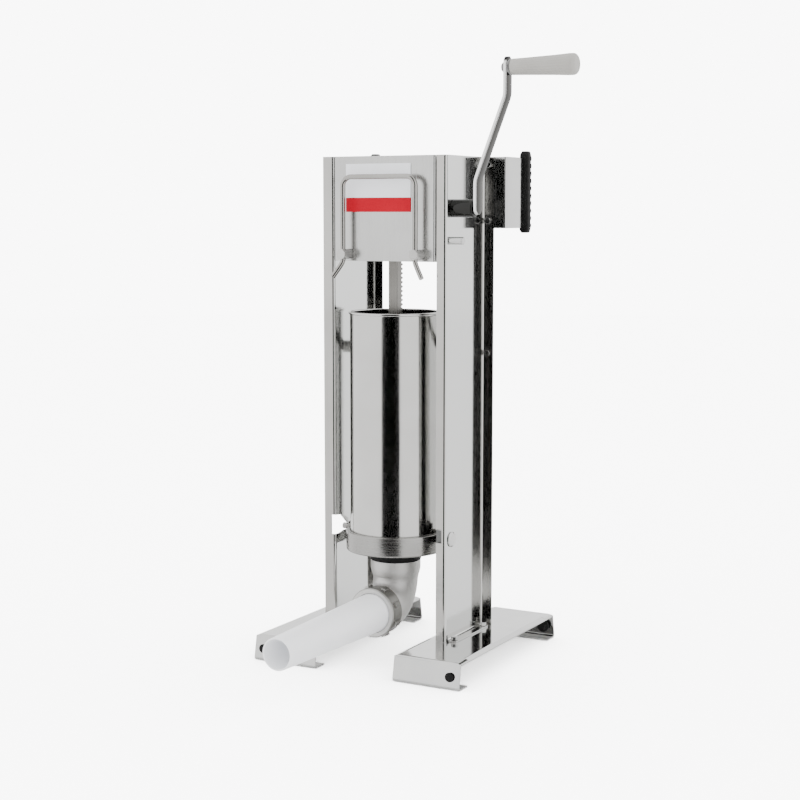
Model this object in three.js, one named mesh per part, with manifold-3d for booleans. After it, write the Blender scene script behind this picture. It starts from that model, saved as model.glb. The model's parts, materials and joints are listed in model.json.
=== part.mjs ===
// Vertical hand-crank sausage stuffer with a two-gear rack drive.
// Millimetres, +Z up, -Y is the front, where the filling tube points, and the crank is on +X.
import * as THREE from "three";
import { mergeVertices } from "three/addons/utils/BufferGeometryUtils.js";
import Module from "manifold-3d";

const wasm = await Module();
wasm.setup();

// ---------- driving dimensions ----------
const GAP = 0.3; // between pieces that touch
const SHEET = 2; // thickness of the frame's sheet steel

const FRAME_TOP = 805;
const FOOT_TOP = 42;
const FOLD_RADIUS = 3; // inside radius of every fold in the sheet
const FLANGE_WIDTH = 17;
const REAR_FLANGE_WIDTH = 18;
const WEB_DEPTH = 132; // front face to rear face of an upright
const RIGHT_WEB_X = 110; // outer face of the right upright's web
const LEFT_WEB_X = -93; // outer face of the left upright's web

const FOOT_INNER_X = 70;
const FOOT_OUTER_X = 184.5;
const FOOT_FRONT_Y = -93;
const FOOT_REAR_Y = 255;
const FOOT_LEAN = 8; // how far the lips lean out at the floor
const FOOT_SHEET = 2.5;
const FOOT_HEM = 30; // the lips' turned-in bottom edge
const FOOT_EDGE_WIDTH = 9; // the long edges slope down over this width
const FOOT_EDGE_DROP = 3;
const BUFFER_RADIUS = 6;
const BUFFER_X = 168;
const BUFFER_Z = 20;

const AXIS_Y = 38; // cylinder, piston and rack share this vertical axis
const CYLINDER_RADIUS = 73;
const CYLINDER_WALL = 1.5;
const CYLINDER_TOP = 561;
const RIM_RADIUS = 2.2;
const RING_RADIUS = 80;
const RING_TOP = 208;
const RING_BOTTOM = 176.4;
const RING_FLOOR = 5;
const RING_HOLE = 34;
const GASKET_HEIGHT = 16.5;
const TRUNNION_Z = 205;
const TRUNNION_RADIUS = 5;

const GEAR_Z = 723.5; // height of the crank shaft and the gear shaft
const RACK_MODULE = 2.25;
const RACK_HALF_WIDTH = 8;
const RACK_FRONT_Y = 29;
const RACK_TIP_Y = 48;
const RACK_TOP = 792;
const PINION_TEETH = 14;
const GEAR_MODULE = 2;
const SMALL_TEETH = 12;
const LARGE_TEETH = 24;
const BACKLASH = 0.35; // taken off each tooth's thickness
const SHAFT_RADIUS = 8;

const PISTON_BOTTOM = 182;
const PISTON_HEIGHT = 28;

const COVER_GAP = 2.6; // open seam between the front cover and the right upright
const PLATE_BOTTOM = 641; // lower edge of the gearbox
const REST_REACH = 141; // side wall of a rear rest from the frame's middle
const REST_REAR_Y = 206;
const REST_LOW = 692;

const BAIL_X = 64.5;
const BAIL_Y = -17;
const BAIL_RADIUS = 4;
const BAIL_TOP = 772.5;
const GUIDE_RADIUS = 8;
const GUIDE_Z = 652;

const BOSS_RADIUS = 14;
const BOSS_END_X = 146;
const CRANK_THROW = 210.5; // shaft axis to grip axis
const ARM_OFFSET = 49; // how far the arm steps outwards
const ARM_THICK = 6;
const ARM_WIDTH = 20;
const ARM_END = 16; // the arm's rounded end above the grip's axis
const GRIP_LENGTH = 105.5;
const COLLAR_RADIUS = 12; // domed collar between the arm and the grip

const OUTLET_Z = 86;
const ELBOW_RADIUS = 36;
const ELBOW_NECK_RADIUS = 40.5;
const ELBOW_BORE = 28;
const NUT_BORE = 35;
const NUT_FRONT_Y = -42;
const TUBE_TIP_Y = -316;
const TUBE_BACK_RADIUS = 31;
const TUBE_TIP_RADIUS = 24.5;

// ---------- materials ----------
const finish = (color, roughness, metalness) =>
  new THREE.MeshStandardMaterial({ color, roughness, metalness });
const POLISHED = finish(0xd9dad8, 0.12, 1);
const SATIN = finish(0xc4c3bf, 0.35, 1);
const CAST = finish(0xb9b6b0, 0.5, 0.9);
const DARK_STEEL = finish(0x5a5a58, 0.4, 1);
const BLACK_RUBBER = finish(0x141414, 0.7, 0);
const WHITE_PLASTIC = finish(0xf0f1f3, 0.35, 0);
const GREY_PLASTIC = finish(0xb5b2ab, 0.4, 0);
const LABEL_GREY = finish(0xdcdde0, 0.4, 0);
const LABEL_RED = finish(0xdc2027, 0.4, 0);

// ---------- solids and booleans ----------
function solidOf(geometry) {
  const bare = new THREE.BufferGeometry();
  bare.setAttribute("position", geometry.getAttribute("position").clone());
  if (geometry.index) bare.setIndex(geometry.index.clone());
  const merged = mergeVertices(bare, 1e-4);
  return new wasm.Manifold(
    new wasm.Mesh({
      numProp: 3,
      vertProperties: new Float32Array(merged.getAttribute("position").array),
      triVerts: new Uint32Array(merged.index.array),
    }),
  );
}

function geometryOf(solid) {
  const mesh = solid.getMesh();
  const geometry = new THREE.BufferGeometry();
  geometry.setAttribute("position", new THREE.BufferAttribute(mesh.vertProperties, 3));
  geometry.setIndex(new THREE.BufferAttribute(mesh.triVerts, 1));
  return geometry;
}

function join(...geometries) {
  let solid = solidOf(geometries[0]);
  for (const geometry of geometries.slice(1)) solid = solid.add(solidOf(geometry));
  return geometryOf(solid);
}

function cut(geometry, ...tools) {
  let solid = solidOf(geometry);
  for (const tool of tools) solid = solid.subtract(solidOf(tool));
  return geometryOf(solid);
}

// ---------- basic shapes, each built in place ----------
function box(x0, x1, y0, y1, z0, z1) {
  const geometry = new THREE.BoxGeometry(x1 - x0, y1 - y0, z1 - z0);
  return geometry.translate((x0 + x1) / 2, (y0 + y1) / 2, (z0 + z1) / 2);
}

// Turns a shape built along +Z so that it runs along another axis, keeping it unmirrored.
const TURNS = {
  x: new THREE.Matrix4().makeBasis(
    new THREE.Vector3(0, 1, 0),
    new THREE.Vector3(0, 0, 1),
    new THREE.Vector3(1, 0, 0),
  ),
  y: new THREE.Matrix4().makeBasis(
    new THREE.Vector3(0, 0, 1),
    new THREE.Vector3(1, 0, 0),
    new THREE.Vector3(0, 1, 0),
  ),
  z: new THREE.Matrix4(),
};

// A closed outline of [u, v] points, extruded between two places along an axis.
// (u, v) is (x, y) along z, (y, z) along x and (z, x) along y.
function prism(axis, outline, from, to) {
  const shape = new THREE.Shape(outline.map(([u, v]) => new THREE.Vector2(u, v)));
  const geometry = new THREE.ExtrudeGeometry(shape, { depth: to - from, bevelEnabled: false });
  return geometry.translate(0, 0, from).applyMatrix4(TURNS[axis]);
}

// The outline of a folded sheet: the centre line of its section, thickened, with rounded folds.
function foldedOutline(line, thickness, insideRadius = FOLD_RADIUS) {
  const path = line.map(([u, v]) => new THREE.Vector2(u, v));
  const left = [];
  const right = [];
  const last = path.length - 1;
  path.forEach((point, i) => {
    const before = i > 0 ? point.clone().sub(path[i - 1]).normalize() : null;
    const after = i < last ? path[i + 1].clone().sub(point).normalize() : null;
    const along = before || after;
    const turn = before && after ? Math.atan2(before.cross(after), before.dot(after)) : 0;
    if (turn === 0) {
      const side = new THREE.Vector2(-along.y, along.x).multiplyScalar(thickness / 2);
      left.push(point.clone().add(side));
      right.push(point.clone().sub(side));
      return;
    }
    const middle = insideRadius + thickness / 2;
    const inward = Math.sign(turn);
    const setback = middle * Math.tan(Math.abs(turn) / 2);
    const start = point.clone().sub(before.clone().multiplyScalar(setback));
    const normal = new THREE.Vector2(-before.y, before.x).multiplyScalar(inward);
    const centre = start.clone().add(normal.clone().multiplyScalar(middle));
    const steps = Math.max(2, Math.round(Math.abs(turn) / 0.26));
    for (let k = 0; k <= steps; k++) {
      const spoke = normal.clone().negate().rotateAround(new THREE.Vector2(), (turn * k) / steps);
      const near = centre.clone().add(spoke.clone().multiplyScalar(insideRadius));
      const far = centre.clone().add(spoke.clone().multiplyScalar(insideRadius + thickness));
      (inward > 0 ? left : right).push(near);
      (inward > 0 ? right : left).push(far);
    }
  });
  return [...right, ...left.reverse()].map((p) => [p.x, p.y]);
}

// A round body about an axis: profile holds [radius, place along the axis], from one end to the other.
function turned(axis, profile, centre, segments = 32) {
  const points = profile.map(([radius, along]) => new THREE.Vector2(radius, along));
  const geometry = new THREE.LatheGeometry(points, segments);
  geometry.applyMatrix4(new THREE.Matrix4().makeRotationX(Math.PI / 2));
  geometry.applyMatrix4(TURNS[axis]);
  const [u, v] = centre;
  if (axis === "x") return geometry.translate(0, u, v);
  if (axis === "y") return geometry.translate(v, 0, u);
  return geometry.translate(u, v, 0);
}

function rod(axis, radius, from, to, centre, segments = 24) {
  return turned(axis, [[0, from], [radius, from], [radius, to], [0, to]], centre, segments);
}

function ring(axis, inner, outer, from, to, centre, segments = 32) {
  const profile = [[inner, from], [outer, from], [outer, to], [inner, to], [inner, from]];
  return turned(axis, profile, centre, segments);
}

// A round bar along a smooth curve through the points.
function bentRod(points, radius, steps, sides = 10) {
  const section = new THREE.Shape();
  for (let i = 0; i < sides; i++) {
    const angle = (2 * Math.PI * i) / sides;
    const point = new THREE.Vector2(radius * Math.cos(angle), radius * Math.sin(angle));
    if (i === 0) section.moveTo(point.x, point.y);
    else section.lineTo(point.x, point.y);
  }
  const vectors = points.map((p) => new THREE.Vector3(...p));
  const extrudePath = new THREE.CatmullRomCurve3(vectors, false, "centripetal");
  return new THREE.ExtrudeGeometry(section, { steps, extrudePath, bevelEnabled: false });
}

// ---------- gears ----------
const PRESSURE_ANGLE = THREE.MathUtils.degToRad(20);

// Half the angle that a tooth covers at a radius, on an involute flank.
function halfToothAngle(radius, pitchRadius, teeth) {
  const base = pitchRadius * Math.cos(PRESSURE_ANGLE);
  const involute = (angle) => Math.tan(angle) - angle;
  const here = Math.acos(Math.min(1, base / Math.max(radius, base)));
  const atPitch = Math.PI / (2 * teeth) - BACKLASH / (2 * pitchRadius);
  return atPitch + involute(PRESSURE_ANGLE) - involute(here);
}

function gearOutline(teeth, module, addendum, phase) {
  const pitchRadius = (teeth * module) / 2;
  const root = pitchRadius - 1.2 * module;
  const tip = pitchRadius + addendum * module;
  const flank = [root, (root + pitchRadius) / 2, pitchRadius, (pitchRadius + tip) / 2, tip];
  const outline = [];
  for (let i = 0; i < teeth; i++) {
    const middle = phase + (2 * Math.PI * i) / teeth;
    const rising = flank.map((r) => [r, middle - halfToothAngle(r, pitchRadius, teeth)]);
    const falling = flank.map((r) => [r, middle + halfToothAngle(r, pitchRadius, teeth)]);
    for (const [r, angle] of [...rising, ...falling.reverse()]) {
      outline.push([r * Math.cos(angle), r * Math.sin(angle)]);
    }
  }
  return outline;
}

// A gear on an x axis, with its bore.
function gear(teeth, module, addendum, phase, x0, x1, [y, z], bore) {
  const outline = gearOutline(teeth, module, addendum, phase);
  const blank = prism("x", outline, x0, x1).translate(0, y, z);
  return cut(blank, rod("x", bore, x0 - 1, x1 + 1, [y, z]));
}

const pinionPitch = (PINION_TEETH * RACK_MODULE) / 2;
const RACK_ADDENDUM = 0.8;
const GEAR_SHAFT_Y = RACK_TIP_Y - RACK_ADDENDUM * RACK_MODULE + pinionPitch;
const CRANK_Y = GEAR_SHAFT_Y - ((SMALL_TEETH + LARGE_TEETH) * GEAR_MODULE) / 2;
const CRANK_AXIS = [CRANK_Y, GEAR_Z];
const GEAR_AXIS = [GEAR_SHAFT_Y, GEAR_Z];

// ---------- assembly ----------
const machine = new THREE.Group();

function add(name, geometry, material) {
  geometry.computeVertexNormals();
  const mesh = new THREE.Mesh(geometry, material.clone());
  mesh.name = name;
  machine.add(mesh);
  return mesh;
}

function hexBolt(name, axis, place, headFrom, headTo, radius = 6) {
  add(name, rod(axis, radius, headFrom, headTo, place, 6), POLISHED);
}

// One upright is a Z section; both sides use the same pressing, turned half a turn.
function uprightAtRight() {
  const half = SHEET / 2;
  const web = RIGHT_WEB_X - half;
  const line = [
    [RIGHT_WEB_X - FLANGE_WIDTH, half],
    [web, half],
    [web, WEB_DEPTH - half],
    [RIGHT_WEB_X + REAR_FLANGE_WIDTH, WEB_DEPTH - half],
  ];
  const floor = FOOT_TOP + GAP;
  const post = prism("z", foldedOutline(line, SHEET), floor, FRAME_TOP);
  const footLine = [
    [web, floor + 20],
    [web, floor + half],
    [RIGHT_WEB_X + 15, floor + half],
  ];
  const outline = foldedOutline(footLine, SHEET).map(([x, z]) => [z, x]);
  const footFlange = prism("y", outline, 8, WEB_DEPTH - half);
  return join(post, footFlange);
}

// A slot through a web, open at the front and narrowing to the seat of the trunnion pin.
function trunnionSlot(x0, x1) {
  const seat = TRUNNION_RADIUS + GAP;
  const outline = [
    [-1, TRUNNION_Z - 8],
    [12, TRUNNION_Z - 8],
    [28, TRUNNION_Z - seat],
    [AXIS_Y, TRUNNION_Z - seat],
    [AXIS_Y, TRUNNION_Z + seat],
    [18, TRUNNION_Z + 22],
    [-1, TRUNNION_Z + 24],
  ];
  return join(prism("x", outline, x0, x1), rod("x", seat, x0, x1, [AXIS_Y, TRUNNION_Z]));
}

function addUprights() {
  const shaftHole = rod("x", SHAFT_RADIUS + GAP, 90, 130, CRANK_AXIS);
  const flange = RIGHT_WEB_X - FLANGE_WIDTH;
  const notch = box(flange - 1, flange + 10, -1, SHEET + 1, TRUNNION_Z - 4, TRUNNION_Z + 18);
  add("right_upright", cut(uprightAtRight(), shaftHole, notch), POLISHED);

  const centreX = (RIGHT_WEB_X + LEFT_WEB_X) / 2;
  const centreY = WEB_DEPTH / 2;
  const left = uprightAtRight().translate(-centreX, -centreY, 0);
  left.rotateZ(Math.PI).translate(centreX, centreY, 0);
  const slot = trunnionSlot(LEFT_WEB_X - 5.5, LEFT_WEB_X + 4);
  add("left_upright", cut(left, slot), POLISHED);
}

// Side view of a foot's end: a lip that leans outwards, and its hem on the floor.
function lipLine(outward) {
  const top = outward < 0 ? FOOT_FRONT_Y : FOOT_REAR_Y;
  const half = FOOT_SHEET / 2;
  const bottom = top + outward * (FOOT_LEAN - 0.5);
  return [
    [top - outward * 30, FOOT_TOP - half],
    [top - outward * half, FOOT_TOP - half],
    [bottom - outward * half, half],
    [bottom - outward * FOOT_HEM, half],
  ];
}

function addFoot(name, side) {
  const inner = side * FOOT_INNER_X;
  const outer = side * FOOT_OUTER_X;
  const [from, to] = [inner, outer].sort((a, b) => a - b);
  const half = FOOT_SHEET / 2;
  const high = FOOT_TOP - half;
  const low = high - FOOT_EDGE_DROP;
  // Section of the top plate across the foot, as [z, x].
  const line = [
    [low, from],
    [high, from + FOOT_EDGE_WIDTH],
    [high, to - FOOT_EDGE_WIDTH],
    [low, to],
  ];
  const top = prism("y", foldedOutline(line, FOOT_SHEET, 2), FOOT_FRONT_Y + 4, FOOT_REAR_Y - 4);
  const lips = [-1, 1].map((outward) =>
    prism("x", foldedOutline(lipLine(outward), FOOT_SHEET, 2), from, to),
  );
  // The lips' upper corners follow the sloping edges.
  const corner = (x, inwards) => {
    const wedge = [
      [FOOT_TOP - FOOT_EDGE_DROP - 0.15, x - inwards],
      [FOOT_TOP + 0.18, x + inwards * (FOOT_EDGE_WIDTH - 0.2)],
      [FOOT_TOP + 3, x + inwards * FOOT_EDGE_WIDTH],
      [FOOT_TOP + 3, x - inwards],
    ];
    if (inwards > 0) wedge.reverse();
    return prism("y", wedge, FOOT_FRONT_Y - 20, FOOT_REAR_Y + 20);
  };
  const hole = (y) => rod("y", BUFFER_RADIUS, y - 12, y + 12, [BUFFER_Z, side * BUFFER_X]);
  const holes = [hole(FOOT_FRONT_Y), hole(FOOT_REAR_Y)];
  const blank = cut(join(top, ...lips), corner(from, 1), corner(to, -1), ...holes);
  add(name, blank, POLISHED);
}

// A rubber buffer: a button outside the lip, a stem through its hole and a thick head inside.
function addBuffer(name, side, outward) {
  const lip = outward < 0 ? FOOT_FRONT_Y - 4 : FOOT_REAR_Y + 4;
  const along = (outside) => lip + outward * outside;
  const stem = BUFFER_RADIUS - GAP;
  const profile = [
    [0, along(-14)],
    [5.5, along(-13.5)],
    [6.5, along(-10)],
    [10, along(-10)],
    [10.5, along(-9.4)],
    [10.5, along(-5.6)],
    [stem, along(-5.6)],
    [stem, along(1.8)],
    [7.2, along(1.8)],
    [6.8, along(3)],
    [0, along(3.4)],
  ];
  if (outward < 0) profile.reverse();
  add(name, turned("y", profile, [BUFFER_Z, side * BUFFER_X], 20), BLACK_RUBBER);
}

function addBase() {
  for (const [word, side] of [["right", 1], ["left", -1]]) {
    addFoot(`${word}_foot`, side);
    addBuffer(`${word}_front_buffer`, side, -1);
    addBuffer(`${word}_rear_buffer`, side, 1);
  }
  const seat = FOOT_TOP + 2 * GAP + SHEET;
  const rightX = RIGHT_WEB_X + 9;
  const leftX = LEFT_WEB_X - 9;
  hexBolt("right_front_foot_bolt", "z", [rightX, 15], seat, seat + 6, 5.5);
  hexBolt("right_rear_foot_bolt", "z", [rightX, 118], seat, seat + 6, 5.5);
  hexBolt("left_front_foot_bolt", "z", [leftX, 14], seat, seat + 6, 5.5);
  hexBolt("left_rear_foot_bolt", "z", [leftX, 117], seat, seat + 6, 5.5);
}

// ---------- gearbox ----------
function addGearbox() {
  const left = LEFT_WEB_X + SHEET + GAP;
  const right = RIGHT_WEB_X - FLANGE_WIDTH - COVER_GAP;
  const half = SHEET / 2;
  const returnDepth = 24;
  const line = [
    [left + half, returnDepth],
    [left + half, half],
    [right - half, half],
    [right - half, returnDepth],
  ];
  const section = foldedOutline(line, SHEET, 1.5);
  const shaftNotch = rod("x", SHAFT_RADIUS + 1, right - 5, right + 1, CRANK_AXIS);
  add("front_cover", cut(prism("z", section, PLATE_BOTTOM, FRAME_TOP), shaftNotch), SATIN);

  const inner = [left + SHEET + GAP, right - SHEET - GAP];
  const rearY = 104;
  const hole = (z0, z1) => box(-9, 9, RACK_FRONT_Y - 1, RACK_TIP_Y + 1, z0, z1);
  const frontY = SHEET + 3 * GAP;
  const floor = box(inner[0], inner[1], frontY, rearY, PLATE_BOTTOM + 1, PLATE_BOTTOM + 3);
  add("gearbox_floor", cut(floor, hole(PLATE_BOTTOM, PLATE_BOTTOM + 4)), SATIN);
  const top = box(inner[0], inner[1], frontY, rearY, FRAME_TOP - 3, FRAME_TOP - 1);
  add("gearbox_top_cover", cut(top, hole(FRAME_TOP - 4, FRAME_TOP)), SATIN);
  const low = PLATE_BOTTOM + 3 + GAP;
  const high = FRAME_TOP - 3 - GAP;
  add("gearbox_rear_cover", box(inner[0], inner[1], rearY - SHEET, rearY, low, high), SATIN);

  const plate = (x0, x1) => box(x0, x1, 9, rearY - SHEET - GAP, low, high);
  const bore = (axis) => rod("x", SHAFT_RADIUS + 0.2, -60, 100, axis);
  add("left_bearing_plate", cut(plate(-34, -28), bore(GEAR_AXIS)), DARK_STEEL);
  add("right_bearing_plate", cut(plate(60, 66), bore(GEAR_AXIS), bore(CRANK_AXIS)), DARK_STEEL);

  const guide = box(-14, 14, 8, RACK_FRONT_Y - GAP, low, low + 60);
  add("rack_guide_block", guide, WHITE_PLASTIC);
}

function addDrive() {
  const gearPhase = Math.PI / LARGE_TEETH;
  const small = gear(SMALL_TEETH, GEAR_MODULE, 0.85, 0, 44, 56, CRANK_AXIS, SHAFT_RADIUS + GAP);
  add("drive_gear", small, DARK_STEEL);
  const largeBore = SHAFT_RADIUS + GAP;
  const large = gear(LARGE_TEETH, GEAR_MODULE, 0.85, gearPhase, 45, 55, GEAR_AXIS, largeBore);
  add("large_gear", large, DARK_STEEL);
  const bore = SHAFT_RADIUS + GAP;
  const pinion = gear(PINION_TEETH, RACK_MODULE, RACK_ADDENDUM, 0, -9, 9, GEAR_AXIS, bore);
  add("rack_pinion", pinion, DARK_STEEL);
  add("gear_shaft", rod("x", SHAFT_RADIUS, -40, 72, GEAR_AXIS), DARK_STEEL);

  const endX = BOSS_END_X + 1 + ARM_THICK;
  add("crank_shaft", rod("x", SHAFT_RADIUS, 38, endX - GAP, CRANK_AXIS), POLISHED);
  const from = RIGHT_WEB_X + GAP;
  const boss = turned(
    "x",
    [
      [SHAFT_RADIUS + 0.2, from],
      [BOSS_RADIUS, from],
      [BOSS_RADIUS, BOSS_END_X - 1.5],
      [BOSS_RADIUS - 1.5, BOSS_END_X],
      [SHAFT_RADIUS + 0.2, BOSS_END_X],
      [SHAFT_RADIUS + 0.2, from],
    ],
    CRANK_AXIS,
    32,
  );
  add("crank_bearing_boss", boss, POLISHED);
}

// ---------- crank ----------
function addCrank() {
  const inner = BOSS_END_X + 1;
  const half = ARM_WIDTH / 2;
  const bottom = GEAR_Z - half;
  const firstBend = GEAR_Z + 42;
  const secondBend = GEAR_Z + 169;
  const gripZ = GEAR_Z + CRANK_THROW;
  const top = gripZ + ARM_END;
  const middle = inner + ARM_THICK / 2;
  // Section along the bar, as [z, x], extruded across it.
  const line = [
    [bottom, middle],
    [firstBend, middle],
    [secondBend, middle + ARM_OFFSET],
    [top, middle + ARM_OFFSET],
  ];
  const bar = prism("y", foldedOutline(line, ARM_THICK, 16), CRANK_Y - half, CRANK_Y + half);
  const gripAxis = [CRANK_Y, gripZ];
  const x0 = inner + ARM_OFFSET;
  // Both ends of the bar are rounded about their holes.
  const roundEnd = (z, away, from, to) => {
    const block = box(from, to, CRANK_Y - 20, CRANK_Y + 20, Math.min(z, z + away), Math.max(z, z + away));
    return cut(block, rod("x", half, from - 1, to + 1, [CRANK_Y, z], 40));
  };
  const lowerEnd = roundEnd(GEAR_Z, -30, inner - 2, inner + ARM_THICK + 2);
  const upperEnd = roundEnd(top - half, 30, x0 - 2, x0 + ARM_THICK + 2);
  const shaftHole = rod("x", SHAFT_RADIUS + GAP, inner - 1, inner + ARM_THICK + 1, CRANK_AXIS);
  const spindleHole = rod("x", 5.3, x0 - 1, x0 + ARM_THICK + 1, gripAxis);
  add("crank_arm", cut(bar, lowerEnd, upperEnd, shaftHole, spindleHole), POLISHED);

  const collarFrom = x0 + ARM_THICK + GAP;
  const gripFrom = x0 + ARM_THICK + 4.5;
  const spindle = [
    [0, x0 - 5],
    [5, x0 - 4],
    [7.5, x0 - GAP],
    [5, x0 - GAP],
    [5, collarFrom],
    [COLLAR_RADIUS - 1, collarFrom],
    [COLLAR_RADIUS, collarFrom + 1],
    [COLLAR_RADIUS, collarFrom + 2.4],
    [COLLAR_RADIUS - 2, collarFrom + 3.9],
    [5, collarFrom + 3.9],
    [5, gripFrom + GRIP_LENGTH - 12],
    [0, gripFrom + GRIP_LENGTH - 12],
  ];
  add("grip_spindle", turned("x", spindle, gripAxis, 28), DARK_STEEL);
  const end = gripFrom + GRIP_LENGTH;
  const bore = 5.4;
  const grip = [
    [bore, gripFrom],
    [11.5, gripFrom],
    [12.5, gripFrom + 1.5],
    [12.9, gripFrom + 20],
    [14.9, gripFrom + 70],
    [16.2, gripFrom + 94],
    [16.2, gripFrom + 99],
    [14.8, end - 4.5],
    [11.5, end - 1.5],
    [6, end],
    [0, end],
    [0, end - 10],
    [bore, end - 10],
    [bore, gripFrom],
  ];
  add("handle_grip", turned("x", grip, gripAxis, 28), GREY_PLASTIC);
}

// ---------- cylinder, piston and rack ----------
function addRack() {
  const pitch = Math.PI * RACK_MODULE;
  const tip = RACK_TIP_Y;
  const root = tip - (RACK_ADDENDUM + 1.2) * RACK_MODULE;
  const pitchLine = tip - RACK_ADDENDUM * RACK_MODULE;
  const slope = Math.tan(PRESSURE_ANGLE);
  const half = pitch / 4 - BACKLASH / 2;
  const tipHalf = half - (tip - pitchLine) * slope;
  const rootHalf = half + (pitchLine - root) * slope;
  const bottom = PISTON_BOTTOM + PISTON_HEIGHT + GAP;
  const outline = [[RACK_FRONT_Y, bottom], [root, bottom]];
  // A gap faces the pinion's tooth at the shaft height.
  const firstTooth = GEAR_Z - 59.5 * pitch;
  for (let z = firstTooth; z < RACK_TOP - pitch; z += pitch) {
    outline.push([root, z - rootHalf]);
    outline.push([tip, z - tipHalf]);
    outline.push([tip, z + tipHalf]);
    outline.push([root, z + rootHalf]);
  }
  outline.push([root, RACK_TOP]);
  outline.push([RACK_FRONT_Y, RACK_TOP]);
  add("rack", prism("x", outline, -RACK_HALF_WIDTH, RACK_HALF_WIDTH), SATIN);
}

function addPiston() {
  const radius = CYLINDER_RADIUS - CYLINDER_WALL - 0.8;
  const low = PISTON_BOTTOM;
  const high = low + PISTON_HEIGHT;
  const groove = [low + 9, low + 17];
  const centre = [0, AXIS_Y];
  const profile = [
    [0, low],
    [radius - 1, low],
    [radius, low + 1],
    [radius, groove[0]],
    [radius - 5, groove[0]],
    [radius - 5, groove[1]],
    [radius, groove[1]],
    [radius, high - 1],
    [radius - 1, high],
    [0, high],
  ];
  const valveX = 40;
  const body = turned("z", profile, centre, 48);
  const valveHole = rod("z", 6, low - 1, high + 1, [valveX, AXIS_Y]);
  const screwHole = rod("z", 9, low - 1, low + 7, centre);
  add("piston", cut(body, valveHole, screwHole), POLISHED);
  const seal = [
    [radius - 4.6, groove[0] + GAP],
    [radius + 0.3, groove[0] + 1.2],
    [radius + 0.3, groove[1] - 1.2],
    [radius - 4.6, groove[1] - GAP],
    [radius - 4.6, groove[0] + GAP],
  ];
  add("piston_seal", turned("z", seal, centre, 48), BLACK_RUBBER);
  add("piston_screw", rod("z", 8.5, low + 0.5, low + 6.5, centre, 6), POLISHED);
  const valve = [
    [0, low + 1],
    [5.6, low + 1],
    [5.6, high + 0.5],
    [9, high + 0.5],
    [9, high + 3],
    [0, high + 5],
  ];
  add("air_valve", turned("z", valve, [valveX, AXIS_Y], 16), BLACK_RUBBER);
}

function addCylinder() {
  const outer = CYLINDER_RADIUS;
  const inner = outer - CYLINDER_WALL;
  const low = RING_BOTTOM + RING_FLOOR + GAP;
  const bead = CYLINDER_TOP - RIM_RADIUS;
  const profile = [[inner, low], [outer, low]];
  for (let i = 0; i <= 6; i++) {
    const angle = -Math.PI / 2 + 0.35 + (i / 6) * (Math.PI / 2 - 0.35 + Math.PI / 2);
    const radius = outer + RIM_RADIUS * (0.4 + Math.cos(angle) * 0.6);
    profile.push([radius, bead + RIM_RADIUS * Math.sin(angle)]);
  }
  profile.push([inner, CYLINDER_TOP]);
  profile.push([inner, low]);
  add("cylinder", turned("z", profile, [0, AXIS_Y], 48), POLISHED);
}

// ---------- base ring and outlet ----------
function addBaseRing() {
  const centre = [0, AXIS_Y];
  const seat = CYLINDER_RADIUS + 0.8;
  const floor = RING_BOTTOM + RING_FLOOR;
  const profile = [
    [RING_HOLE, RING_BOTTOM],
    [RING_RADIUS - 2, RING_BOTTOM],
    [RING_RADIUS, RING_BOTTOM + 2],
    [RING_RADIUS, RING_TOP - 1],
    [RING_RADIUS - 1, RING_TOP],
    [seat, RING_TOP],
    [seat, floor],
    [RING_HOLE, floor],
    [RING_HOLE, RING_BOTTOM],
  ];
  const band = turned("z", profile, centre, 48);
  // A boss and a pin stand out on each side of the ring.
  const trunnion = [AXIS_Y, TRUNNION_Z];
  const boss = (side) => {
    const x = [side * 76, side * 85].sort((a, b) => a - b);
    return rod("x", 10, x[0], x[1], trunnion, 24);
  };
  const pin = (side, end) => {
    const x = [side * 76, end].sort((a, b) => a - b);
    return rod("x", TRUNNION_RADIUS, x[0], x[1], trunnion, 24);
  };
  const pins = [pin(1, RIGHT_WEB_X - SHEET - 1), pin(-1, LEFT_WEB_X - 5)];
  const inside = rod("z", seat, floor + 0.01, RING_TOP + 30, centre, 48);
  add("base_ring", cut(join(band, boss(1), boss(-1), ...pins), inside), SATIN);

  // The right pin lies in a block on the upright; a round-headed screw holds the block.
  const blockX = [RIGHT_WEB_X - 19, RIGHT_WEB_X - SHEET - GAP];
  const block = box(blockX[0], blockX[1], 5, 50, TRUNNION_Z - 13, TRUNNION_Z + 15);
  const slotWidth = TRUNNION_RADIUS + GAP;
  const groove = join(
    rod("x", slotWidth, blockX[0] - 1, blockX[1] + 1, trunnion),
    box(blockX[0] - 1, blockX[1] + 1, AXIS_Y - slotWidth, AXIS_Y + slotWidth, TRUNNION_Z, TRUNNION_Z + 20),
  );
  add("right_trunnion_block", cut(block, groove), DARK_STEEL);
  const head = RIGHT_WEB_X + GAP;
  const screw = [[0, head], [12, head], [12, head + 1.5], [9.5, head + 3.5], [0, head + 4]];
  add("trunnion_block_screw", turned("x", screw, [19, TRUNNION_Z], 28), POLISHED);
}

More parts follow.
